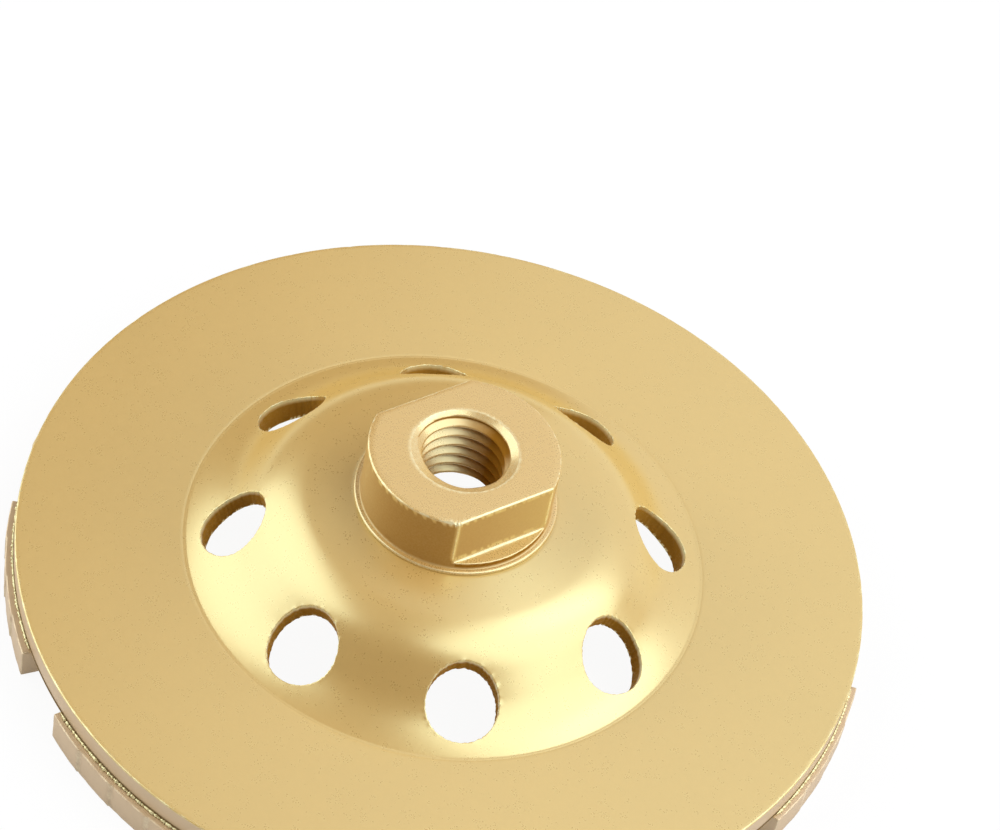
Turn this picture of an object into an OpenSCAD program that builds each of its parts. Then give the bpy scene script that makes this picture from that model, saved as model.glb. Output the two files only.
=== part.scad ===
// Diamond grinding disc: a cup wheel with a domed steel body, a threaded hub with two
// wrench flats, and a ring of diamond segments brazed under the rim.
// Millimetres, +Z up. The axis of the disc is Z and the segments' working faces lie at z = 0.

/* [Rim] */
// Diameter of the steel body
body_d = 125; // [118:0.5:134]
// Thickness of the flat rim that carries the segments
rim_t = 4; // [3.2:0.1:5]
// Bevel on the rim's upper outer edge
rim_bevel = 0.35; // [0.1:0.05:0.8]

/* [Dome] */
// Diameter of the crease where the flat rim turns up into the dome
crease_d = 75.9; // [74:0.1:80]
// Wall of the dome
wall_t = 2.7; // [2.2:0.1:3.2]
// Slope of the dome where it leaves the rim
foot_angle = 9; // [6:1:14]
// Slope of the dome's steep wall
wall_angle = 46.5; // [42:0.5:50]
// Slope of the crown between the shoulder and the hub
crown_angle = 9; // [8:0.5:13]
// Radius of the upper surface at the dome's foot
foot_round = 10.7; // [8:0.1:13]
// Radius of the upper surface at the dome's shoulder
shoulder_round = 12; // [8:0.5:13]
// Radius of the hidden side where the rim turns up into the dome
inner_round = 9; // [6:0.5:12]
// Height of the hub's flat seat above the rim
crown_h = 11.7; // [11:0.1:13]

/* [Vent holes] */
// Number of vent holes round the dome
vent_n = 8; // [6:1:9]
// Diameter of a vent hole
vent_d = 10.4; // [8:0.1:12]
// Radius of the circle that the vent holes lie on
vent_r = 31.3; // [30.8:0.1:32]
// Outward lean of a vent hole from the disc's axis
vent_lean = 16; // [8:1:24]

/* [Hub] */
// Diameter of the hub
hub_d = 27.8; // [27:0.1:29]
// Height of the hub above its seat
hub_h = 9.95; // [9:0.05:13]
// Bevel on the hub's top edge
hub_bevel = 0.35; // [0.1:0.05:0.8]
// Diameter of the hub's foot ring, which sits on the dome
foot_ring_d = 29.6; // [29.4:0.05:30.2]
// Height of the foot ring
foot_ring_h = 0.5; // [0.35:0.05:0.7]
// Bevel on the foot ring's upper edge
foot_ring_bevel = 0.2; // [0.1:0.05:0.25]
// Distance across the two wrench flats
flats_w = 22.9; // [22:0.1:25]
// Height of the round collar left below the wrench flats
collar_h = 1.55; // [1.2:0.05:2.6]
// Turn of the wrench flats from the line between two opposite vent holes
flats_turn = -17.5; // [-45:0.5:45]
// Diameter of the spigot that fills the dome's centre hole
spigot_d = 22; // [20:0.1:24]
// Gap between the spigot and the centre hole, on the radius
spigot_gap = 0.05; // [0.02:0.01:0.1]

/* [Spindle thread] */
// Minor diameter of the spindle thread, M14 with a 2 mm pitch
bore_d = 12; // [11.85:0.01:12.2]
// Diameter of the lead-in at each end of the thread
lead_in_d = 15.4; // [14.4:0.1:16]
// Slope of the lead-in from the axis
lead_in_angle = 60; // [50:1:65]

/* [Segments] */
// Angle that one segment covers
segment_arc = 25.8; // [22:0.2:30]
// Height of a segment below the rim
segment_h = 5; // [3:0.1:8]
// Width of a segment across the rim
segment_w = 8; // [6:0.1:10]
// How far a segment stands out past the rim's edge
segment_out = 1.2; // [0.3:0.05:1.5]
// Number of teeth on a segment's outer face
tooth_n = 4; // [3:1:5]
// Step between two teeth of a segment
tooth_step = 0.15; // [0.1:0.05:0.5]
// Turn of the segments from the first vent hole
segment_turn = 13.35; // [0:0.05:36]

/* [Hidden] */
NODES = ["cup_body", "threaded_hub", "segment_01", "segment_02", "segment_03", "segment_04",
         "segment_05", "segment_06", "segment_07", "segment_08", "segment_09", "segment_10"];
segment_n = len(NODES) - 2;
fine = 180;
arc_steps = 10;
gold = "#d4b878";
hub_gold = "#caa45c";
segment_gold = "#c8ae86";

// Heights above the segments' working face
rim_top = segment_h + rim_t;
seat_z = rim_top + crown_h;
hub_top = seat_z + hub_h;
seat_under = seat_z - wall_t;

// Radii from the axis
rim_r = body_d / 2;
crease_r = crease_d / 2;
hub_r = hub_d / 2;
foot_ring_r = foot_ring_d / 2;
spigot_r = spigot_d / 2;
centre_hole_r = spigot_r + spigot_gap;
bore_r = bore_d / 2;
lead_in_r = lead_in_d / 2;
segment_r = rim_r + segment_out;
segment_in_r = segment_r - segment_w;

// The flat seat is a little wider than the foot ring that sits on it
seat_margin = 0.35;
seat_r = foot_ring_r + seat_margin;

// Directions in the section: up the surface towards the axis, and square to it outwards
function along(a) = [-cos(a), sin(a)];
function square_to(a) = [sin(a), cos(a)];

// The straight length of the wall follows from where the crown has to meet the seat
across = crease_r - seat_r - foot_round * (sin(wall_angle) - sin(foot_angle))
         - shoulder_round * (sin(wall_angle) - sin(crown_angle));
rise = crown_h - foot_round * (cos(foot_angle) - cos(wall_angle))
       - shoulder_round * (cos(crown_angle) - cos(wall_angle));
bend = wall_angle - crown_angle;
wall_l = (rise * cos(crown_angle) - across * sin(crown_angle)) / sin(bend);

// Points and arc centres of the dome's section, as [radius, height]
crease = [crease_r, rim_top];
foot_centre = crease + foot_round * square_to(foot_angle);
wall_low = foot_centre - foot_round * square_to(wall_angle);
wall_high = wall_low + wall_l * along(wall_angle);
shoulder_centre = wall_high - shoulder_round * square_to(wall_angle);

// The hidden side runs a wall's thickness below, and rounds into the rim's flat underside
under_crown = shoulder_centre + (shoulder_round - wall_t) * square_to(crown_angle);
under_flat_r = under_crown[0] - (seat_under - under_crown[1]) / tan(crown_angle);
under_high = wall_high - wall_t * square_to(wall_angle);
under_corner_r = under_high[0] + (under_high[1] - segment_h) / tan(wall_angle);
inner_run = inner_round * tan(wall_angle / 2);
inner_centre = [under_corner_r + inner_run, segment_h + inner_round];

// How far a cutting shape runs past what it cuts
past = 1;

// Points of an arc in the section, from one surface slope to another. The radius is
// positive where the surface bulges out, and negative where it is hollow.
function arc(centre, radius, from, to) =
    [for (i = [0 : arc_steps])
        centre + radius * square_to(from + (to - from) * i / arc_steps)];

// Section of the steel body: over the top from the rim to the axis, and back underneath
module body_section() {
    polygon(concat(
        [[rim_r, segment_h], [rim_r, rim_top - rim_bevel], [rim_r - rim_bevel, rim_top]],
        arc(foot_centre, -foot_round, foot_angle, wall_angle),
        arc(shoulder_centre, shoulder_round, wall_angle, crown_angle),
        [[seat_r, seat_z], [centre_hole_r, seat_z]],
        [[centre_hole_r, seat_under], [under_flat_r, seat_under]],
        arc(shoulder_centre, shoulder_round - wall_t, crown_angle, wall_angle),
        arc(inner_centre, -inner_round, wall_angle, 0)));
}

// The bore of one vent hole, leaning outwards
module vent_bore(turn) {
    vent_z = wall_low[1] + (wall_low[0] - vent_r) * tan(wall_angle);
    reach = 2 * (vent_d + wall_t);
    rotate(turn)
        translate([vent_r, 0, vent_z])
        rotate([0, vent_lean, 0])
        cylinder(d = vent_d, h = reach, center = true, $fn = fine);
}

// Pressed steel body: flat rim, dome, centre hole and the ring of vent holes
module cup_body() {
    color(gold) difference() {
        rotate_extrude($fn = fine) body_section();
        for (i = [0 : vent_n - 1]) vent_bore(i * 360 / vent_n);
    }
}

// Section of the hub: spigot in the centre hole, foot ring on the dome, bevelled nut above
module hub_section() {
    foot_ring_top = seat_z + foot_ring_h;
    polygon([[0, seat_under], [spigot_r, seat_under], [spigot_r, seat_z], [foot_ring_r, seat_z],
             [foot_ring_r, foot_ring_top - foot_ring_bevel],
             [foot_ring_r - foot_ring_bevel, foot_ring_top], [hub_r, foot_ring_top],
             [hub_r, hub_top - hub_bevel], [hub_r - hub_bevel, hub_top], [0, hub_top]]);
}

// Section of the threaded bore, at its minor diameter, with a cone at each mouth
module bore_section() {
    lead_in_l = (lead_in_r - bore_r) / tan(lead_in_angle);
    polygon([[0, seat_under - past], [lead_in_r, seat_under - past], [lead_in_r, seat_under],
             [bore_r, seat_under + lead_in_l], [bore_r, hub_top - lead_in_l],
             [lead_in_r, hub_top], [lead_in_r, hub_top + past], [0, hub_top + past]]);
}

// What the mill takes away for one wrench flat, down to the round collar
module flat_cut(turn) {
    rotate(turn)
        translate([flats_w / 2, -hub_r - past, seat_z + collar_h])
        cube([hub_r, 2 * (hub_r + past), hub_h]);
}

// Threaded hub
module threaded_hub() {
    color(hub_gold) difference() {
        rotate_extrude($fn = fine) hub_section();
        rotate_extrude($fn = fine) bore_section();
        flat_cut(flats_turn);
        flat_cut(flats_turn + 180);
    }
}

// A wedge from the axis, wide enough to cut one tooth out of a round
module wedge(from, to) {
    reach = 2 * segment_r;
    polygon([[0, 0], reach * [cos(from), sin(from)], reach * [cos(to), sin(to)]]);
}

// Plan of one tooth: its round is set off sideways, so its face runs out towards one end
module tooth(i) {
    tooth_arc = segment_arc / tooth_n;
    from = i * tooth_arc - segment_arc / 2;
    middle = from + tooth_arc / 2;
    sideways = tooth_step / (2 * sin(tooth_arc / 2));
    intersection() {
        wedge(from, from + tooth_arc);
        translate(sideways * [-sin(middle), cos(middle)])
            circle(r = segment_r, $fn = fine);
    }
}

// One diamond segment, brazed under the rim, with its working face at the bottom
module segment(number) {
    color(segment_gold)
        rotate(segment_turn + (number - 1) * 360 / segment_n)
        linear_extrude(segment_h)
        difference() {
            for (i = [0 : tooth_n - 1]) tooth(i);
            circle(r = segment_in_r, $fn = fine);
        }
}

cup_body();
threaded_hub();
segment(1);  // segment_01
segment(2);  // segment_02
segment(3);  // segment_03
segment(4);  // segment_04
segment(5);  // segment_05
segment(6);  // segment_06
segment(7);  // segment_07
segment(8);  // segment_08
segment(9);  // segment_09
segment(10);  // segment_10
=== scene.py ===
# Looks of a diamond grinding disc: a domed steel cup body, a threaded hub and ten diamond
# segments, all under satin gold paint. Meshes are made in millimetres about the disc's axis,
# with the segments' working faces at z = 0, and turned to metres when a piece is finished.
import math

import bmesh
import bpy
import numpy as np
from mathutils import Matrix, Vector


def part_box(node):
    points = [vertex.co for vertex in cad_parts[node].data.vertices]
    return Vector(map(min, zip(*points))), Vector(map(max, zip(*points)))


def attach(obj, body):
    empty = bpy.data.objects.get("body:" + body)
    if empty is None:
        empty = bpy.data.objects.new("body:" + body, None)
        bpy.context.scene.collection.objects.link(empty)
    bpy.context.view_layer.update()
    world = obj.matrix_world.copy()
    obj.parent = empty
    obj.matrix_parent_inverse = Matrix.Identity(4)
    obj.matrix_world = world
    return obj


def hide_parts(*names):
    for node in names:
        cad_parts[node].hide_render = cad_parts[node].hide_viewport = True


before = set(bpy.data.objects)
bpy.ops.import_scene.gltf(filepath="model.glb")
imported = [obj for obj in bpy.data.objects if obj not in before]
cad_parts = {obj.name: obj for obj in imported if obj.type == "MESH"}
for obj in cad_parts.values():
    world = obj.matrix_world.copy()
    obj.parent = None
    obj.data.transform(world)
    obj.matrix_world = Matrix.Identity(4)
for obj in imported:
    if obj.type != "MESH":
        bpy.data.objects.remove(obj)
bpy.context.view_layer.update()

MM = 0.001
TURN = 2 * math.pi
WELD = 1e-6


def reach(node):
    """Largest distance of a CAD node's points from the axis, in mm."""
    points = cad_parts[node].data.vertices
    return max(math.hypot(p.co.x, p.co.y) for p in points) / MM


# Sizes that the frame gives, in mm
cup_low, cup_high = (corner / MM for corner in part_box("cup_body"))
hub_low, hub_high = (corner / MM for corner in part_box("threaded_hub"))
RIM_R = reach("cup_body")
RIM_UNDER = cup_low.z
SEAT_Z = cup_high.z
SEAT_UNDER = hub_low.z
HUB_TOP = hub_high.z
FOOT_RING_R = reach("threaded_hub")

# Rim and dome, in mm and degrees, as the CAD model has them
RIM_T = 4.0
CREASE_R = 37.95
WALL_T = SEAT_Z - SEAT_UNDER
WALL_ANGLE = math.radians(46.5)
CROWN_ANGLE = math.radians(9)
SHOULDER_ROUND = 12.0
INNER_ROUND = 9.0
SEAT_R = FOOT_RING_R + 0.35
CENTRE_HOLE_R = 11.05
RIM_TOP = RIM_UNDER + RIM_T

# The dome's foot starts a little steeper than the CAD model's 9 degrees, for a crisp crease,
# and runs into the same wall
FOOT_ANGLE = math.radians(15)
FOOT_ROUND = 15.02

# Vent holes
VENT_N = 8
VENT_R = 31.3
VENT_HOLE_R = 5.2
VENT_LEAN = math.radians(16)

# Hub and its thread
HUB_R = 13.9
FLAT_REACH = 11.45
FLATS_TURN = math.radians(-17.5)
LEDGE_Z = SEAT_Z + 1.55
FOOT_RING_H = 0.5
SPIGOT_R = 11.0
LEAD_IN_R = 7.7
LEAD_IN_ANGLE = math.radians(60)
THREAD_MINOR_R = 6.0
THREAD_MAJOR_R = 7.0
THREAD_PITCH = 2.0

# Segments
SEGMENT_N = 10
SEGMENT_ARC = math.radians(25.8)
SEGMENT_TURN = math.radians(13.35)
SEGMENT_R = 63.7
SEGMENT_IN_R = 55.7
TOOTH_N = 4
TOOTH_STEP = 0.15


# Mesh tools

class Shell:
    """Points, faces and paint marks of one mesh, gathered patch by patch, in mm. The marks carry wear
    with painted highlights, and soil with painted shade.
    """

    def __init__(self):
        self.points = []
        self.faces = []
        self.wear_and_highlight = []
        self.soil_and_shade = []
        self.total = 0

    def add(self, x, y, z, wear_and_highlight=0.0, soil_and_shade=0.0):
        """Adds an array of points and returns their numbers in the same layout."""
        x, y, z = np.broadcast_arrays(x, y, z)
        numbers = self.total + np.arange(x.size).reshape(x.shape)
        self.points.append(np.stack([x, y, z], axis=-1).reshape(-1, 3))
        self.wear_and_highlight.append(np.broadcast_to(wear_and_highlight, x.shape).ravel())
        self.soil_and_shade.append(np.broadcast_to(soil_and_shade, x.shape).ravel())
        self.total += x.size
        return numbers

    def skin(self, rows, closed=False):
        """Joins a grid of point numbers. A closed grid runs on into its first column."""
        if closed:
            rows = np.concatenate([rows, rows[:, :1]], axis=1)
        quads = [rows[:-1, :-1], rows[:-1, 1:], rows[1:, 1:], rows[1:, :-1]]
        self.faces.append(np.stack(quads, axis=-1).reshape(-1, 4))

    def finish(self, name, material, slot, *nodes):
        """Welds the patches into one object that stands for the CAD nodes."""
        mesh = bpy.data.meshes.new(name)
        points = np.concatenate(self.points) * MM
        mesh.from_pydata(points.tolist(), [], np.concatenate(self.faces).tolist())
        for label, values in (("wear_and_highlight", self.wear_and_highlight), ("soil_and_shade", self.soil_and_shade)):
            layer = mesh.attributes.new(label, "FLOAT", "POINT")
            layer.data.foreach_set("value", np.concatenate(values).astype(np.float32))
        work = bmesh.new()
        work.from_mesh(mesh)
        bmesh.ops.remove_doubles(work, verts=work.verts, dist=WELD)
        bmesh.ops.dissolve_degenerate(work, edges=work.edges, dist=WELD)
        bmesh.ops.recalc_face_normals(work, faces=work.faces)
        work.to_mesh(mesh)
        work.free()
        mesh.shade_smooth()
        mesh.materials.append(material)
        piece = bpy.data.objects.new(name, mesh)
        bpy.context.scene.collection.objects.link(piece)
        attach(piece, "root")
        if nodes:
            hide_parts(*nodes)
        return piece


def wave(rng, angle, low, high, count=24):
    """A random wave round a circle, about -1 to 1, of whole cycles between low and high."""
    cycles = rng.integers(low, high, count)
    phases = rng.uniform(0, TURN, count)
    waves = np.cos(np.asarray(angle)[..., None] * cycles + phases)
    return waves.sum(axis=-1) / math.sqrt(2 * count)


def spaced(knots, counts):
    """Values that run through the knots, with the given number of steps between them."""
    pieces = [
        np.linspace(start, end, count, endpoint=False)
        for start, end, count in zip(knots[:-1], knots[1:], counts)
    ]
    return np.concatenate(pieces)


def column(values):
    """A list as an upright column, to spread over the columns of a grid."""
    return np.asarray(values, float)[:, None]


# Cup body

def section_point(centre, radius, angle):
    """Point of a round in the dome's section where the surface slopes by the angle."""
    return centre[0] + radius * math.sin(angle), centre[1] + radius * math.cos(angle)


foot_centre = section_point((CREASE_R, RIM_TOP), FOOT_ROUND, FOOT_ANGLE)
wall_low = section_point(foot_centre, -FOOT_ROUND, WALL_ANGLE)
across = (
    wall_low[0] - SEAT_R
    - SHOULDER_ROUND * (math.sin(WALL_ANGLE) - math.sin(CROWN_ANGLE))
)
rise = (
    SEAT_Z - wall_low[1]
    - SHOULDER_ROUND * (math.cos(CROWN_ANGLE) - math.cos(WALL_ANGLE))
)
wall_l = (
    (rise * math.cos(CROWN_ANGLE) - across * math.sin(CROWN_ANGLE))
    / math.sin(WALL_ANGLE - CROWN_ANGLE)
)
wall_high = (
    wall_low[0] - wall_l * math.cos(WALL_ANGLE),
    wall_low[1] + wall_l * math.sin(WALL_ANGLE),
)
shoulder_centre = section_point(wall_high, -SHOULDER_ROUND, WALL_ANGLE)
crown_low = section_point(shoulder_centre, SHOULDER_ROUND, CROWN_ANGLE)
under_round = SHOULDER_ROUND - WALL_T
under_high = section_point(wall_high, -WALL_T, WALL_ANGLE)
under_crown = section_point(shoulder_centre, under_round, CROWN_ANGLE)
under_flat_r = under_crown[0] - (SEAT_UNDER - under_crown[1]) / math.tan(CROWN_ANGLE)
under_corner_r = under_high[0] + (under_high[1] - RIM_UNDER) / math.tan(WALL_ANGLE)
inner_centre = (
    under_corner_r + INNER_ROUND * math.tan(WALL_ANGLE / 2),
    RIM_UNDER + INNER_ROUND,
)
under_low = section_point(inner_centre, -INNER_ROUND, WALL_ANGLE)
VENT_Z = wall_low[1] + (wall_low[0] - VENT_R) * math.tan(WALL_ANGLE)

# The crease is a little rounded, and a shallow turned groove runs round just outside it
CREASE_SOFT = 0.12
GROOVE_OUT = 0.42
GROOVE_HALF = 0.2
GROOVE_DEEP = 0.025


def round_height(r, centre, radius):
    """Height of a round in the section: above its centre if the radius is positive."""
    drop = np.sqrt(np.maximum(radius**2 - (r - centre[0]) ** 2, 0))
    return centre[1] + math.copysign(1, radius) * drop


def top_height(r):
    """Height of the body's upper surface at a radius."""
    groove = np.clip(1 - np.abs(r - CREASE_R - GROOVE_OUT) / GROOVE_HALF, 0, 1)
    inward = CREASE_R - r
    eased = np.clip(inward + CREASE_SOFT, 0, 2 * CREASE_SOFT) ** 2 / (4 * CREASE_SOFT)
    fill = math.tan(FOOT_ANGLE) * (eased - np.clip(inward, 0, CREASE_SOFT))
    rim = RIM_TOP - GROOVE_DEEP * groove + fill
    foot = round_height(r, foot_centre, -FOOT_ROUND) + fill
    wall = wall_low[1] + (wall_low[0] - r) * math.tan(WALL_ANGLE)
    shoulder = round_height(r, shoulder_centre, SHOULDER_ROUND)
    crown = SEAT_Z - (r - SEAT_R) * math.tan(CROWN_ANGLE)
    ends = [CREASE_R, wall_low[0], wall_high[0], crown_low[0], SEAT_R]
    return np.select([r >= end for end in ends], [rim, foot, wall, shoulder, crown], SEAT_Z)


def under_height(r):
    """Height of the body's hidden surface at a radius."""
    inner = round_height(r, inner_centre, -INNER_ROUND)
    wall = under_high[1] - (r - under_high[0]) * math.tan(WALL_ANGLE)
    bend = round_height(r, shoulder_centre, under_round)
    crown = SEAT_UNDER - (r - under_flat_r) * math.tan(CROWN_ANGLE)
    ends = [inner_centre[0], under_low[0], under_high[0], under_crown[0], under_flat_r]
    heights = [RIM_UNDER, inner, wall, bend, crown]
    return np.select([r >= end for end in ends], heights, SEAT_UNDER)


# The dome's wall is meshed in one sector round each vent hole, between these radii
TOP_SECTOR = (25.2, 37.4)
UNDER_SECTOR = (24.2, 36.4)
SECTOR_STEPS = 56
SECTOR_SIDE_STEPS = 24
BODY_TURNS = np.arange(VENT_N * SECTOR_STEPS) * TURN / (VENT_N * SECTOR_STEPS)

# Rounded lips of the vent holes
LIP = 0.13
LIP_RINGS = (0.0, 0.015, 0.04, 0.08, 0.13, 0.22, 0.45, 0.8)
LIP_REACH = LIP_RINGS[-1]
SECTOR_RINGS = 7
WALL_RINGS = 8
SERRATION = 0.06
BURR = 0.05


def sector_edge(inner, outer):
    """Radius and angle of points round a sector, from the middle of its outer side."""
    half = math.pi / VENT_N
    side = [0.0, half]
    up = spaced(side, [SECTOR_STEPS // 2])
    out = np.concatenate([
        np.full(len(up), outer),
        spaced([outer, inner], [SECTOR_SIDE_STEPS]),
        np.full(2 * len(up), inner),
        spaced([inner, outer], [SECTOR_SIDE_STEPS]),
        np.full(len(up), outer),
    ])
    turn = np.concatenate([
        up,
        np.full(SECTOR_SIDE_STEPS, half),
        spaced([half, -half], [SECTOR_STEPS]),
        np.full(SECTOR_SIDE_STEPS, -half),
        spaced([-half, 0.0], [SECTOR_STEPS // 2]),
    ])
    return out, turn


def vent_round(psi, radius, height_of, drop):
    """Radius, angle and height of a ring round the vent, sunk below a surface of the dome."""
    sideways = radius * np.cos(psi)
    x = VENT_R + sideways * math.cos(VENT_LEAN)
    y = radius * np.sin(psi)
    z = VENT_Z - sideways * math.sin(VENT_LEAN)
    for _ in range(30):
        lift = height_of(np.hypot(x, y)) - z
        x = x + lift * math.tan(VENT_LEAN)
        z = z + lift
    x = x - drop * math.sin(VENT_LEAN)
    z = z - drop * math.cos(VENT_LEAN)
    return x, y, z


def lip_drop(distance):
    """How far the surface has sunk at a distance from the hole's wall, to round its lip."""
    rest = max(LIP - distance, 0)
    return LIP - math.sqrt(max(LIP**2 - rest**2, 0))


def place(shell, turn, x, y, z, wear_and_highlight=0.0, soil_and_shade=0.0):
    """Adds points turned about the axis."""
    c = math.cos(turn)
    s = math.sin(turn)
    return shell.add(x * c - y * s, x * s + y * c, z, wear_and_highlight, soil_and_shade)


def sector_skin(shell, turn, psi, edge, height_of, side, marks):
    """One side of a sector: rounded lip rings, then rings that open out to its edge."""
    serration, burr = marks
    rows = []
    for distance in LIP_RINGS:
        fade = 1 - distance / LIP_REACH
        raised = BURR * np.maximum(burr, 0) * math.exp(-((distance - LIP) / 0.2) ** 2)
        drop = side * (lip_drop(distance) - raised)
        radius = VENT_HOLE_R + distance + SERRATION * serration * fade**2
        x, y, z = vent_round(psi, radius, height_of, drop)
        wear_and_highlight = fade**3 * (0.55 + 0.45 * burr)
        rows.append(place(shell, turn, x, y, z, wear_and_highlight))
    r_lip = np.hypot(x, y)
    turn_lip = np.arctan2(y, x)
    r_edge, turn_edge = edge
    for i in range(1, SECTOR_RINGS + 1):
        share = i / SECTOR_RINGS
        r = r_lip + (r_edge - r_lip) * share
        angle = turn + turn_lip + (turn_edge - turn_lip) * share
        rows.append(shell.add(r * np.cos(angle), r * np.sin(angle), height_of(r)))
    shell.skin(np.stack(rows), closed=True)
    return rows[0]


def vent_sector(shell, number, rng):
    """A sector of the dome's wall with its vent hole, on both sides."""
    turn = number * TURN / VENT_N
    top_edge = sector_edge(*TOP_SECTOR)
    under_edge = sector_edge(*UNDER_SECTOR)
    edge_x = top_edge[0] * np.cos(top_edge[1])
    edge_y = top_edge[0] * np.sin(top_edge[1])
    psi = np.unwrap(np.arctan2(edge_y, edge_x - VENT_R))
    marks = wave(rng, psi, 12, 60), wave(rng, psi, 6, 40)
    sector_skin(shell, turn, psi, top_edge, top_height, 1, marks)
    sector_skin(shell, turn, psi, under_edge, under_height, -1, marks)
    radius = VENT_HOLE_R + SERRATION * marks[0]
    top = np.stack(vent_round(psi, radius, top_height, LIP))
    under = np.stack(vent_round(psi, radius, under_height, -LIP))
    rows = []
    for i in range(WALL_RINGS + 1):
        share = i / WALL_RINGS
        x, y, z = top + (under - top) * share
        # The wall darkens below the lip, as painted shade inside the hole.
        soil_and_shade = min(1.0, 5 * share)
        rows.append(place(shell, turn, x, y, z, 0.0, soil_and_shade))
    shell.skin(np.stack(rows), closed=True)


EDGE_ROUND = 0.22
EDGE_STEPS = 6
UNDER_EDGE = 0.22
NICK = 0.09

# Depth of the recess in the body that the side band fills
SIDE_DEEP = 0.05

# Narrow strips beside the recess's sharp edges, which keep the smooth shading off the faces
HEM = 0.01
SIDE_TOP = RIM_TOP - EDGE_ROUND - HEM
SIDE_LOW = RIM_UNDER + UNDER_EDGE + HEM


def rim_side(material):
    """The rim's turned side, which is a paler and less glossy band than the paint above."""
    shell = Shell()
    side = np.linspace(SIDE_TOP - HEM, SIDE_LOW + HEM, 9)
    side = np.concatenate([[SIDE_TOP], side, [SIDE_LOW]])
    heights = column(np.concatenate([side[:1], side, side[-1:], side[:1]]))
    inside = RIM_R - SIDE_DEEP
    radii = column([inside] + [RIM_R] * len(side) + [inside] * 2)
    # The band darkens towards its bottom edge, as painted shade by the braze bead.
    low = np.clip((RIM_UNDER + 1.2 - heights) / 0.5, 0, 1)
    rows = shell.add(radii * np.cos(BODY_TURNS), radii * np.sin(BODY_TURNS), heights, 0.1, low)
    shell.skin(rows, closed=True)
    return shell.finish("rim_side", material, "segment_gold")


def body_shell(material, rng):
    """The pressed steel body: crown, vented wall, rim, outer edge and the hidden side."""
    shell = Shell()
    cos_turns = np.cos(BODY_TURNS)
    sin_turns = np.sin(BODY_TURNS)

    def revolve(radii, heights, wear_and_highlight=0.0, soil_and_shade=0.0):
        rows = shell.add(radii * cos_turns, radii * sin_turns, heights, wear_and_highlight, soil_and_shade)
        shell.skin(rows, closed=True)

    crown = spaced(
        [CENTRE_HOLE_R, SEAT_R - 0.2, SEAT_R + 0.2, crown_low[0], TOP_SECTOR[0]],
        [4, 3, 10, 9],
    )
    crown = column(np.append(crown, TOP_SECTOR[0]))
    revolve(crown, top_height(crown))
    groove_in = CREASE_R + GROOVE_OUT - GROOVE_HALF
    groove_mid = CREASE_R + GROOVE_OUT
    groove_end = CREASE_R + GROOVE_OUT + GROOVE_HALF
    flat_end = RIM_R - EDGE_ROUND
    rim = spaced(
        [TOP_SECTOR[1], CREASE_R - CREASE_SOFT, CREASE_R + CREASE_SOFT, groove_in, groove_mid,
         groove_end, groove_end + 0.3, flat_end - 1, flat_end],
        [3, 4, 1, 2, 2, 1, 9, 2],
    )
    rim = column(np.append(rim, flat_end))
    # The outer edge is worn lighter, and a painted highlight runs along the crease.
    edge_near = np.exp(-(((rim - flat_end) / 0.35) ** 2))
    crease_highlight = np.exp(-(((rim - CREASE_R) / 0.12) ** 2))
    revolve(rim, top_height(rim), 0.4 * edge_near + 0.25 * crease_highlight)

    slope = column(np.linspace(0, math.pi / 2, EDGE_STEPS))
    nick = np.maximum(wave(rng, BODY_TURNS, 40, 230, 40) - 0.75, 0) * NICK
    nick = nick * np.sin(2 * slope)
    wear_and_highlight = np.sin(2 * slope) * (0.4 + 0.6 * wave(rng, BODY_TURNS, 20, 200))
    revolve(
        flat_end + EDGE_ROUND * np.sin(slope) - nick,
        RIM_TOP - EDGE_ROUND * (1 - np.cos(slope)) - nick,
        wear_and_highlight,
    )
    revolve(
        column([RIM_R, RIM_R, RIM_R - SIDE_DEEP, RIM_R - SIDE_DEEP, RIM_R, RIM_R]),
        column([SIDE_TOP + HEM, SIDE_TOP, SIDE_TOP, SIDE_LOW, SIDE_LOW, SIDE_LOW - HEM]),
    )
    # The under edge is a little worn, and darker as painted shade under the rim.
    revolve(
        RIM_R - UNDER_EDGE * (1 - np.cos(slope)),
        RIM_UNDER + UNDER_EDGE * (1 - np.sin(slope)),
        0.3,
        0.3,
    )
    hidden = spaced(
        [RIM_R - UNDER_EDGE, inner_centre[0], UNDER_SECTOR[1]],
        [10, 6],
    )
    hidden = column(np.append(hidden, UNDER_SECTOR[1]))
    revolve(hidden, under_height(hidden))
    under = spaced(
        [UNDER_SECTOR[0], under_crown[0], under_flat_r, CENTRE_HOLE_R],
        [5, 6, 4],
    )
    under = column(np.append(under, CENTRE_HOLE_R))
    revolve(under, under_height(under))
    hole = column(np.linspace(SEAT_UNDER, SEAT_Z, 4))
    revolve(np.full_like(hole, CENTRE_HOLE_R), hole)

    for number in range(VENT_N):
        vent_sector(shell, number, rng)
    return shell.finish("body_shell", material, "body_gold", "cup_body")


# Hub

HUB_EDGE = 0.3
HUB_SOFT = 0.05
TOP_LOOPS = 8
COLLAR_FILLET = 0.45
COLLAR_EDGE = 0.12
# The nut's walls are painted darker than its top, as painted shade, most of all on one side.
WALL_SHADE = 0.84
CORNER_NEAR = 0.02
SHADED_SIDE = math.radians(-70)

# The burred corner of the hub's top edge, in degrees from the middle of the front flat
BURR_TURN = 325.0
BURR_SPREAD = 7.0

# The side of the thread that is painted darker as painted shade, in degrees round the axis
DARK_SIDE = 72.0
DARK_SPREAD = 55.0


def hub_turns():
    """Angles round the hub from a flat's middle, closer together at the flats' corners."""
    corner = math.acos(FLAT_REACH / HUB_R)
    near = math.radians(3)
    half = math.pi / 2
    knots = [0, corner - near, corner + near, half]
    knots += [math.pi - knot for knot in reversed(knots)][1:]
    quarter = [18, 16, 26]
    one_side = spaced(knots, quarter + quarter[::-1])
    return np.concatenate([one_side, one_side + math.pi])


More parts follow.
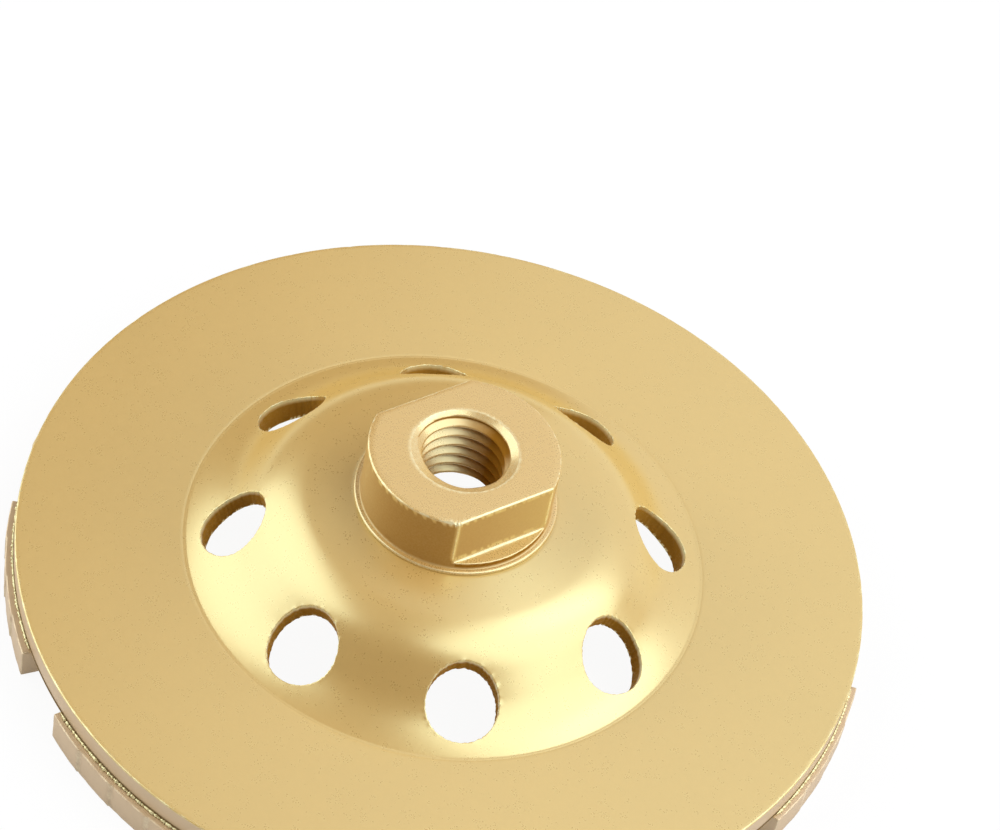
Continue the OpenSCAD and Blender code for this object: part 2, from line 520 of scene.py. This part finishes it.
def hub_outline(turns):
    """Radius of the nut: a round cut by two flats, with its corners a little softened."""
    flat = FLAT_REACH / np.maximum(np.abs(np.cos(turns)), 0.2)
    flat = np.minimum(flat, 2 * HUB_R)
    soft = -HUB_SOFT * np.log(np.exp(-(flat - HUB_R) / HUB_SOFT) + 1)
    return HUB_R + soft


def thread_wall(turns):
    """Heights and radii of the thread's rows, which climb by a pitch in a turn."""
    knots = [0, 0.2, 0.98, 1.16, THREAD_PITCH]
    crest = THREAD_MINOR_R
    radii = [crest, crest, THREAD_MAJOR_R, THREAD_MAJOR_R, crest]
    steps = spaced(knots, [2, 6, 2, 5])
    first = -2
    last = math.ceil((HUB_TOP - SEAT_UNDER) / THREAD_PITCH) + 2
    starts = SEAT_UNDER + THREAD_PITCH * np.arange(first, last)
    climbs = (starts[:, None] + steps).ravel()
    rows = np.tile(np.interp(steps, knots, radii), len(starts))
    heights = climbs[:, None] + THREAD_PITCH * turns / TURN
    radii = np.broadcast_to(rows[:, None], heights.shape)
    return heights, radii, len(steps)


def hub_nut(material, rng):
    """The threaded hub: nut with two wrench flats, collar, foot ring, spigot and thread."""
    shell = Shell()
    turns = hub_turns()
    cos_turns = np.cos(turns + FLATS_TURN)
    sin_turns = np.sin(turns + FLATS_TURN)

    def loops(radii, heights, wear_and_highlight=0.0, soil_and_shade=0.0):
        rows = shell.add(radii * cos_turns, radii * sin_turns, heights, wear_and_highlight, soil_and_shade)
        shell.skin(rows, closed=True)

    outline = hub_outline(turns)
    is_flat = np.clip((HUB_R - outline) / 0.35, 0, 1)
    from_flat = np.abs((turns + math.pi / 2) % math.pi - math.pi / 2)
    is_corner = np.exp(-(((from_flat - math.acos(FLAT_REACH / HUB_R)) / CORNER_NEAR) ** 2))
    rough = wave(rng, turns, 30, 160, 40)
    burred = np.exp(-((np.degrees(turns) - BURR_TURN) / BURR_SPREAD) ** 2)
    strokes = np.maximum(wave(rng, turns, 120, 300, 40), 0) * burred
    chip = 0.05 * np.maximum(rough - 0.3, 0) + 0.3 * strokes

    # Top face, from the lead-in to the rounded outer edge
    share = column(np.linspace(0, 1, TOP_LOOPS))
    mouth = LEAD_IN_R + 0.12
    top_r = mouth + (outline - HUB_EDGE - mouth) * share
    mouth_wear = np.exp(-(((share - 0.0) / 0.03) ** 2))
    edge_wear = np.exp(-(((share - 1.0) / 0.05) ** 2))
    near_edge = np.clip(6 * share - 5, 0, 1)
    loops(
        top_r,
        HUB_TOP - 0.12 * strokes * near_edge,
        0.5 * mouth_wear + 0.3 * edge_wear + 1.5 * strokes * near_edge,
    )
    slope = column(np.linspace(0, math.pi / 2, 5))
    chipped = chip * np.sin(2 * slope)
    loops(
        outline - HUB_EDGE + HUB_EDGE * np.sin(slope) - chipped,
        HUB_TOP - HUB_EDGE * (1 - np.cos(slope)) - chipped,
        np.sin(2 * slope) * (0.45 + 0.5 * is_flat + 0.35 * rough) + burred * (0.5 + strokes),
    )
    lip = column(np.linspace(0, 1, 3))
    loops(LEAD_IN_R + 0.12 * lip, HUB_TOP - 0.04 * (1 - lip) ** 2, 0.6)

    # Side of the nut, the ledge below the flats and the collar
    side = column(np.linspace(HUB_TOP - HUB_EDGE, LEDGE_Z + COLLAR_FILLET, 12))
    # The walls carry painted shade, stronger on one side, and the corners are worn lighter.
    wall_shade = WALL_SHADE * (0.7 + 0.3 * np.cos(turns + FLATS_TURN - SHADED_SIDE))
    loops(outline, side, 0.5 * is_corner, wall_shade * (1 - is_corner) * (1 - 0.1 * is_flat))
    wide = HUB_R - outline
    bend = column(np.linspace(0, math.pi / 2, 5))
    fillet = np.minimum(COLLAR_FILLET, 0.45 * wide)
    edge = np.minimum(COLLAR_EDGE, 0.35 * wide)
    inner_out = fillet * (1 - np.cos(bend))
    inner_up = COLLAR_FILLET * (1 - np.sin(bend))
    flat_run = column([0.2, 0.4, 0.6, 0.8])
    run_out = fillet + (wide - edge - fillet) * flat_run
    outer_out = wide - edge + edge * np.sin(bend)
    outer_down = COLLAR_EDGE * (1 - np.cos(bend))
    out = np.concatenate([inner_out, run_out, outer_out])
    up = np.concatenate([inner_up * np.ones_like(wide), 0 * run_out,
                         -outer_down * np.ones_like(wide)])
    even = column(np.linspace(COLLAR_FILLET, -COLLAR_EDGE, len(out)))
    height = LEDGE_Z + even + (up - even) * is_flat
    # A painted highlight runs along the fillet under each flat, and the ledge's outer edge is worn
    # lighter; off the flats the collar carries the walls' painted shade.
    wear_and_highlight = np.concatenate([0.6 * np.sin(bend) * is_flat, 0 * run_out, 0.6 * np.sin(2 * bend) * is_flat])
    soil_and_shade = np.zeros_like(out) + wall_shade * (1 - is_flat)
    loops(outline + out, height, wear_and_highlight, soil_and_shade)

    # Collar down to the foot ring that stands on the dome
    ring_top = SEAT_Z + FOOT_RING_H
    ring_edge = FOOT_RING_R - 0.16
    foot_r = [HUB_R, HUB_R, HUB_R, HUB_R + 0.03, HUB_R + 0.12, HUB_R + 0.3, ring_edge - 0.08,
              ring_edge, FOOT_RING_R - 0.04, FOOT_RING_R, FOOT_RING_R, FOOT_RING_R - 0.06]
    foot_z = [LEDGE_Z - COLLAR_EDGE, ring_top + 0.8, ring_top + 0.35, ring_top + 0.08, ring_top,
              ring_top, ring_top, ring_top - 0.03, ring_top - 0.14, ring_top - 0.28, SEAT_Z + 0.04,
              SEAT_Z - 0.01]
    # A painted highlight runs along the foot ring's outer edge; painted shade lies in the creases at
    # the collar's foot and under the ring, and on the collar's side below the flats.
    foot_highlight = [0, 0, 0, 0, 0, 0, 0.1, 0.45, 0.35, 0.1, 0, 0]
    foot_shade = [0, 0, 0, 0.6, 0.5, 0, 0, 0, 0, 0, 0.5, 0.9]
    wall_rows = column([1, 1, 1] + [0] * 9)
    loops(
        column(foot_r) * np.ones_like(turns),
        column(foot_z),
        column(foot_highlight),
        np.maximum(column(foot_shade), wall_rows * np.maximum(wall_shade, is_flat)),
    )
    base_r = [FOOT_RING_R - 0.06, FOOT_RING_R - 0.6, SPIGOT_R, SPIGOT_R, SPIGOT_R - 0.2, LEAD_IN_R]
    base_z = [SEAT_Z - 0.01, SEAT_Z, SEAT_Z, SEAT_UNDER + 0.2, SEAT_UNDER, SEAT_UNDER]
    loops(column(base_r) * np.ones_like(turns), column(base_z))

    # Thread, with a cone at each mouth
    heights, radii, in_pitch = thread_wall(turns)
    heights = np.clip(heights, SEAT_UNDER, HUB_TOP - 0.04)
    cone = math.tan(LEAD_IN_ANGLE)
    top_cone = LEAD_IN_R - (HUB_TOP - 0.04 - heights) * cone
    low_cone = LEAD_IN_R - (heights - SEAT_UNDER) * cone
    radii = np.maximum(radii, np.maximum(top_cone, low_cone))
    deep = (radii - THREAD_MINOR_R) / (THREAD_MAJOR_R - THREAD_MINOR_R)
    in_cone = np.maximum(top_cone, low_cone) >= radii - 1e-6
    # Crests and upper flanks are lightened as a painted highlight; roots are darker, partly from thin
    # paint and partly as painted shade, and the side round DARK_SIDE is darkened as painted shade.
    wear_and_highlight = np.where(in_cone, 0.35, 0.3 * (1 - deep))
    shaded = np.exp(-((np.degrees(turns + FLATS_TURN) - DARK_SIDE) / DARK_SPREAD) ** 2)
    soil_and_shade = np.where(in_cone, 0.0, np.maximum(np.clip(6 * deep - 5, 0, 1), 1.1 * shaded))
    rows = shell.add(radii * cos_turns, radii * sin_turns, heights, wear_and_highlight, soil_and_shade)
    shell.skin(rows)
    seam = np.stack([rows[:-in_pitch, -1], rows[in_pitch:, 0]], axis=1)
    shell.skin(seam)
    return shell.finish("hub_nut", material, "hub_gold", "threaded_hub")


# Segments

TOOTH_STEPS = 9
CORNER_ROUND = 0.22
GRIT = 0.03

# How far each segment is set back from the outermost place, in mm
SET_BACK = [0.2, 0.3, 0.1, 0.35, 0.25, 0.15, 0.0, 0.1, 0.3, 0.2]


def tooth_face(angle):
    """Radius of the stepped outer face at an angle from the segment's middle."""
    tooth_arc = SEGMENT_ARC / TOOTH_N
    number = np.clip(np.floor((angle + SEGMENT_ARC / 2) / tooth_arc), 0, TOOTH_N - 1)
    middle = (number + 0.5) * tooth_arc - SEGMENT_ARC / 2
    sideways = TOOTH_STEP / (2 * math.sin(tooth_arc / 2))
    along = sideways * np.sin(angle - middle)
    return along + np.sqrt(SEGMENT_R**2 - sideways**2 + along**2)


def block_lines(length, count):
    """Places of grid lines along one side of a block, closer together at its ends."""
    near = CORNER_ROUND
    return np.append(spaced([0, near, length - near, length], [3, count, 3]), length)


def segment_block(number, material, rng):
    """One sintered segment: a curved block with stepped teeth, worn edges and grit."""
    shell = Shell()
    length = SEGMENT_ARC * SEGMENT_R
    width = SEGMENT_R - SEGMENT_IN_R
    tooth_l = length / TOOTH_N
    step_half = 0.05
    lines = [block_lines(length, 1)]
    for tooth in range(TOOTH_N):
        lines.append(tooth * tooth_l + np.linspace(0, tooth_l, TOOTH_STEPS)[1:-1])
        if tooth:
            lines.append([tooth * tooth_l - step_half, tooth * tooth_l + step_half])
    along = np.unique(np.concatenate(lines).round(6))
    along = along[np.concatenate([[True], np.diff(along) > 0.02])]
    inward = block_lines(width, 8)
    upward = block_lines(RIM_UNDER, 8)
    turn = SEGMENT_TURN + number * TURN / SEGMENT_N
    size = np.array([length, width, RIM_UNDER])
    cycles = rng.uniform(0.4, 3.2, (36, 3)) * rng.choice([-1, 1], (36, 3))
    phases = rng.uniform(0, TURN, 36)
    steps = np.arange(1, TOOTH_N) * tooth_l

    def face(a, b, c):
        a, b, c = np.broadcast_arrays(a, b, c)
        point = np.stack([a, b, c], axis=-1)
        core = np.clip(point, CORNER_ROUND, size - CORNER_ROUND)
        off = point - core
        off_l = np.linalg.norm(off, axis=-1, keepdims=True)
        outward = off / np.maximum(off_l, 1e-9)
        grit = np.cos(point @ cycles.T + phases).sum(axis=-1, keepdims=True) / 6
        sunk = GRIT * np.clip(0.5 - grit, 0, 1.6)
        top_face = (c > RIM_UNDER - 1e-6)[..., None]
        sunk = np.where(top_face, 0, sunk)
        point = core + outward * (CORNER_ROUND - sunk)
        on_edge = (np.abs(outward) > 0.25).sum(axis=-1) > 1
        near_step = np.abs(a[..., None] - steps).min(axis=-1) < 0.12
        near_step = near_step & (b < 0.1)
        wear_and_highlight = np.where(on_edge | near_step, 0.5, 0.15) * np.clip(1 + 0.5 * grit[..., 0], 0, 1)
        angle = point[..., 0] / SEGMENT_R - SEGMENT_ARC / 2
        outer = tooth_face(angle)
        radius = outer - (outer - SEGMENT_IN_R) * point[..., 1] / width - SET_BACK[number]
        x = radius * np.cos(turn + angle)
        y = radius * np.sin(turn + angle)
        # The block is a little darker towards its working face.
        soil_and_shade = np.clip(0.35 - 0.3 * point[..., 2] / RIM_UNDER, 0, 1)
        return shell.add(x, y, point[..., 2], wear_and_highlight, soil_and_shade)

    for level in (0.0, RIM_UNDER):
        shell.skin(face(along[:, None], inward, level))
    for depth in (0.0, width):
        shell.skin(face(along[:, None], depth, upward))
    for end in (0.0, length):
        shell.skin(face(end, inward[:, None], upward))
    name = f"segment_block_{number + 1:02d}"
    return shell.finish(name, material, "segment_gold", f"segment_{number + 1:02d}")


BEAD_SIDES = 8
BEAD_STEPS = 150
BEAD_R = 0.24


def braze_bead(number, material, rng):
    """The line of braze between a segment's outer ledge and the rim's side."""
    shell = Shell()
    share = np.linspace(0, 1, BEAD_STEPS)
    turn = SEGMENT_TURN + number * TURN / SEGMENT_N
    angle = turn + (share - 0.5) * SEGMENT_ARC * 0.985
    lumps = wave(rng, share * math.pi, 10, 150, 50)
    ends = np.clip(np.minimum(share, 1 - share) * 30, 0.1, 1)
    thick = BEAD_R * np.clip(0.8 + 0.7 * lumps, 0.15, 1.8) * ends
    around = column(np.linspace(0, TURN, BEAD_SIDES, endpoint=False))
    radius = RIM_R + 0.1 + thick * np.cos(around)
    z = RIM_UNDER + 0.25 + thick * np.sin(around)
    # The bead is lightened towards the bright tone, as a painted highlight along the joint.
    wear_and_highlight = np.clip(0.7 + 0.3 * lumps, 0, 1)
    rows = shell.add(radius * np.cos(angle), radius * np.sin(angle), z, wear_and_highlight)
    shell.skin(rows.T, closed=True)
    caps = [rows[:, 0], rows[:, -1]]
    for cap in caps:
        fan = np.stack([cap[:4], cap[:3:-1]])
        shell.skin(fan)
    name = f"braze_bead_{number + 1:02d}"
    return shell.finish(name, material, "body_gold")


# Materials

def socket(node, name, value):
    """Sets one input of a node."""
    node.inputs[name].default_value = value


class Graph:
    """A short way to write a material's nodes."""

    def __init__(self, name):
        self.material = bpy.data.materials.new(name)
        self.material.use_nodes = True
        self.tree = self.material.node_tree
        self.shader = self.tree.nodes["Principled BSDF"]

    def node(self, kind, **values):
        made = self.tree.nodes.new(kind)
        for name, value in values.items():
            setattr(made, name, value)
        return made

    def link(self, source, target):
        self.tree.links.new(source, target)

    def noise(self, size, detail=2.0, rough=0.5):
        """Noise whose features are about size mm across. Gives its value."""
        made = self.node("ShaderNodeTexNoise")
        self.link(self.place(), made.inputs["Vector"])
        socket(made, "Scale", 1 / (size * MM))
        socket(made, "Detail", detail)
        socket(made, "Roughness", rough)
        return made.outputs["Fac"]

    def flakes(self, size):
        """Random values from 0 to 1, one for each flake about size mm across."""
        made = self.node("ShaderNodeTexVoronoi")
        self.link(self.place(), made.inputs["Vector"])
        socket(made, "Scale", 1 / (size * MM))
        split = self.node("ShaderNodeSeparateColor")
        self.link(made.outputs["Color"], split.inputs["Color"])
        return split.outputs["Red"]

    def place(self):
        """The point's place on the object."""
        if not hasattr(self, "coordinates"):
            self.coordinates = self.node("ShaderNodeTexCoord")
        return self.coordinates.outputs["Object"]

    def mark(self, name):
        """A mark that the mesh carries."""
        made = self.node("ShaderNodeAttribute", attribute_name=name)
        return made.outputs["Fac"]

    def math(self, operation, first, second, clamp=False):
        """Arithmetic on two values, each a socket or a number."""
        made = self.node("ShaderNodeMath", operation=operation, use_clamp=clamp)
        for i, value in enumerate((first, second)):
            if isinstance(value, (int, float)):
                made.inputs[i].default_value = value
            else:
                self.link(value, made.inputs[i])
        return made.outputs[0]

    def spread(self, value, low, high):
        """A value from 0 to 1 stretched between low and high."""
        made = self.node("ShaderNodeMapRange")
        self.link(value, made.inputs["Value"])
        socket(made, "To Min", low)
        socket(made, "To Max", high)
        return made.outputs["Result"]

    def mix(self, share, first, second):
        """A colour between two, each a socket or a colour."""
        made = self.node("ShaderNodeMix", data_type="RGBA")
        self.link(share, made.inputs["Factor"])
        for name, value in (("A", first), ("B", second)):
            target = next(s for s in made.inputs if s.name == name and s.type == "RGBA")
            if isinstance(value, tuple):
                target.default_value = (*value, 1)
            else:
                self.link(value, target)
        return next(s for s in made.outputs if s.type == "RGBA")

    def scale(self, colour, amount):
        """A colour times a value."""
        made = self.node("ShaderNodeVectorMath", operation="SCALE")
        self.link(colour, made.inputs[0])
        self.link(amount, made.inputs["Scale"])
        return made.outputs[0]

    def bump(self, height, depth, strength=1.0, over=None):
        """A bump of the given depth in mm, over another one if that is given."""
        made = self.node("ShaderNodeBump")
        socket(made, "Distance", depth * MM)
        socket(made, "Strength", strength)
        self.link(height, made.inputs["Height"])
        if over is not None:
            self.link(over, made.inputs["Normal"])
        return made.outputs["Normal"]


def gold_paint(name, tone, sheen_tone, ior, bright, dark, roughness, grain):
    """Satin gold paint: deep gold under a pale sheen, with fine flakes, wear and painted highlights,
    soil and painted shade.
    """
    g = Graph(name)
    flakes = g.flakes(0.16)
    fine = g.noise(0.3, 3.0, 0.6)
    mottle = g.noise(1.6, 4.0, 0.6)
    broad = g.noise(14.0, 2.0)
    wear_and_highlight = g.mark("wear_and_highlight")
    soil_and_shade = g.mark("soil_and_shade")

    level = g.math("ADD", g.spread(flakes, -0.012, 0.012), g.spread(fine, 0.985, 1.015))
    level = g.math("MULTIPLY", level, g.spread(mottle, 0.96, 1.04))
    level = g.math("MULTIPLY", level, g.spread(broad, 0.97, 1.03))
    colour = g.node("ShaderNodeRGB")
    colour.outputs[0].default_value = (*tone, 1)
    body = g.scale(colour.outputs[0], level)
    # The first mark lightens the paint towards the bright tone: worn edges, and painted highlights
    # along creases, fillets, rings, crests and the bead.
    ragged = g.math("MULTIPLY", wear_and_highlight, g.spread(g.noise(0.35, 3.0), 0.3, 1.7))
    worn_and_highlit = g.math("MULTIPLY", g.math("SUBTRACT", ragged, 0.25), 2.2, clamp=True)
    body = g.mix(worn_and_highlit, body, bright)
    # The second mark darkens the paint, dulls its sheen and roughens it: soil, and painted shade in
    # holes, on walls and in creases.
    stain_and_shade = g.math("ADD", soil_and_shade, g.spread(fine, -0.2, 0.2), clamp=True)
    stain_and_shade = g.math("MULTIPLY", stain_and_shade, soil_and_shade, clamp=True)
    body = g.mix(stain_and_shade, body, dark)
    g.link(body, g.shader.inputs["Base Color"])
    colour = g.node("ShaderNodeRGB")
    colour.outputs[0].default_value = (*sheen_tone, 1)
    sheen = g.scale(colour.outputs[0], g.math("SUBTRACT", 1.0, g.math("MULTIPLY", stain_and_shade, 0.5)))
    g.link(sheen, g.shader.inputs["Specular Tint"])
    socket(g.shader, "IOR", ior)
    bare = g.math("SUBTRACT", 0.5, g.math("MULTIPLY", stain_and_shade, 0.5), clamp=True)
    g.link(bare, g.shader.inputs["Specular IOR Level"])

    gloss = g.math("ADD", g.spread(mottle, -0.015, 0.015), g.spread(flakes, -0.01, 0.01))
    gloss = g.math("ADD", gloss, roughness)
    gloss = g.math("SUBTRACT", gloss, g.math("MULTIPLY", worn_and_highlit, 0.08))
    gloss = g.math("ADD", gloss, g.math("MULTIPLY", stain_and_shade, 0.3))
    g.link(gloss, g.shader.inputs["Roughness"])
    peel = g.bump(g.noise(0.9, 2.0), 0.004 * grain, 0.5)
    grit = g.bump(g.noise(0.22, 3.0, 0.7), 0.0014 * grain, 0.6, peel)
    g.link(grit, g.shader.inputs["Normal"])
    return g.material


def pale_floor(name):
    """White floor that shows white to the camera and in the metal, and keeps a soft shadow."""
    material = bpy.data.materials.new(name)
    material.use_nodes = True
    tree = material.node_tree
    tree.nodes.remove(tree.nodes["Principled BSDF"])
    matt = tree.nodes.new("ShaderNodeBsdfDiffuse")
    socket(matt, "Color", (0.85, 0.85, 0.85, 1))
    glow = tree.nodes.new("ShaderNodeEmission")
    socket(glow, "Strength", 1.0)
    mixed = tree.nodes.new("ShaderNodeMixShader")
    rays = tree.nodes.new("ShaderNodeLightPath")
    seen = tree.nodes.new("ShaderNodeMath")
    seen.operation = "MAXIMUM"
    tree.links.new(rays.outputs["Is Camera Ray"], seen.inputs[0])
    mirrored = tree.nodes.new("ShaderNodeMath")
    mirrored.operation = "MAXIMUM"
    tree.links.new(rays.outputs["Is Glossy Ray"], mirrored.inputs[0])
    tree.links.new(rays.outputs["Is Transmission Ray"], mirrored.inputs[1])
    tree.links.new(mirrored.outputs[0], seen.inputs[1])
    share = tree.nodes.new("ShaderNodeMath")
    share.operation = "MULTIPLY"
    share.inputs[1].default_value = FLOOR_GLOW
    tree.links.new(seen.outputs[0], share.inputs[0])
    tree.links.new(share.outputs[0], mixed.inputs[0])
    tree.links.new(matt.outputs[0], mixed.inputs[1])
    tree.links.new(glow.outputs[0], mixed.inputs[2])
    tree.links.new(mixed.outputs[0], tree.nodes["Material Output"].inputs["Surface"])
    return material


# Stage, lights and camera

FLOOR_GLOW = 0.93
FLOOR_HALF = 12.0
AMBIENT = 0.12

CAMERA_DISTANCE = 490.39
CAMERA_AZIMUTH = math.radians(-57.65)
CAMERA_ELEVATION = math.radians(49.44)
CAMERA_YAW = math.radians(0.461)
CAMERA_PITCH = math.radians(2.420)
CAMERA_ROLL = math.radians(-11.750)
CAMERA_LENS = 120.3
SENSOR = 36.0


def towards(azimuth, elevation):
    """Unit vector at an azimuth from +X and an elevation, in radians."""
    flat = math.cos(elevation)
    return Vector((flat * math.cos(azimuth), flat * math.sin(azimuth), math.sin(elevation)))


def floor():
    """The plain floor that the disc lies on."""
    mesh = bpy.data.meshes.new("floor")
    corners = [(-1, -1), (1, -1), (1, 1), (-1, 1)]
    points = [(x * FLOOR_HALF, y * FLOOR_HALF, -0.02 * MM) for x, y in corners]
    mesh.from_pydata(points, [], [(0, 1, 2, 3)])
    mesh.materials.append(pale_floor("floor_white"))
    made = bpy.data.objects.new("floor", mesh)
    bpy.context.scene.collection.objects.link(made)


def softbox(name, azimuth, elevation, distance, size, brightness, tint=(1, 1, 1)):
    """A flat studio light that faces the disc. Brightness is how bright its face looks."""
    light = bpy.data.lights.new(name, "AREA")
    light.shape = "RECTANGLE"
    light.size, light.size_y = size
    light.energy = brightness * math.pi * size[0] * size[1]
    light.color = tint
    made = bpy.data.objects.new(name, light)
    out = towards(math.radians(azimuth), math.radians(elevation))
    made.location = out * distance
    made.rotation_mode = "QUATERNION"
    made.rotation_quaternion = out.to_track_quat("Z", "Y")
    made.visible_camera = False
    bpy.context.scene.collection.objects.link(made)


def lights():
    """A softbox at each side, a weaker one behind, and a dim surround."""
    softbox("left_box", -156.9, 32, 1.0, (1.08, 1.235), 2.4)
    softbox("right_box", 21.4, 48, 1.0, (1.215, 1.41), 2.5)
    softbox("back_box", 84, 36.4, 1.0, (1.2, 1.5), 0.72, (0.92, 0.96, 1.1))
    world = bpy.data.worlds.new("surround")
    world.use_nodes = True
    tree = world.node_tree
    background = tree.nodes["Background"]
    socket(background, "Color", (1, 1, 1, 1))
    rays = tree.nodes.new("ShaderNodeLightPath")
    strength = tree.nodes.new("ShaderNodeMapRange")
    socket(strength, "To Min", AMBIENT)
    socket(strength, "To Max", 1.0)
    tree.links.new(rays.outputs["Is Camera Ray"], strength.inputs["Value"])
    tree.links.new(strength.outputs["Result"], background.inputs["Strength"])
    bpy.context.scene.world = world


def turned(first, second, angle):
    """Two square unit vectors, turned in their own plane."""
    c = math.cos(angle)
    s = math.sin(angle)
    return first * c - second * s, first * s + second * c


def camera():
    """The photograph's camera: aimed at the rim's middle, then turned, tipped and rolled."""
    out = towards(CAMERA_AZIMUTH, CAMERA_ELEVATION)
    ahead = -out
    right = ahead.cross(Vector((0, 0, 1))).normalized()
    up = right.cross(ahead)
    right, ahead = turned(right, ahead, CAMERA_YAW)
    up, ahead = turned(up, ahead, CAMERA_PITCH)
    right, up = turned(right, up, CAMERA_ROLL)
    data = bpy.data.cameras.new("camera")
    data.lens = CAMERA_LENS
    data.sensor_width = SENSOR
    data.sensor_fit = "HORIZONTAL"
    made = bpy.data.objects.new("camera", data)
    place = out * CAMERA_DISTANCE * MM + Vector((0, 0, RIM_TOP * MM))
    made.matrix_world = Matrix.Translation(place) @ Matrix((right, up, -ahead)).transposed().to_4x4()
    bpy.context.scene.collection.objects.link(made)
    bpy.context.scene.camera = made


# The whole scene

def build():
    """Makes every piece, the stage, the lights and the camera."""
    rng = np.random.default_rng(7)
    body_gold = gold_paint(
        "body_gold", (0.605, 0.365, 0.106), (0.92, 1.0, 0.6), 3.4,
        (0.8, 0.66, 0.36), (0.38, 0.19, 0.025), 0.285, 0.8
    )
    hub_gold = gold_paint(
        "hub_gold", (0.6, 0.355, 0.11), (0.97, 0.97, 0.6), 3.4,
        (0.84, 0.7, 0.4), (0.32, 0.14, 0.014), 0.28, 0.8
    )
    segment_gold = gold_paint(
        "segment_gold", (0.52, 0.36, 0.2), (1.0, 0.9, 0.7), 2.5,
        (0.8, 0.66, 0.42), (0.16, 0.1, 0.04), 0.42, 2.0
    )
    body_shell(body_gold, rng)
    rim_side(segment_gold)
    hub_nut(hub_gold, rng)
    for number in range(SEGMENT_N):
        segment_block(number, segment_gold, rng)
        braze_bead(number, body_gold, rng)
    floor()
    lights()
    camera()
    bpy.context.scene.view_settings.view_transform = "Standard"


build()
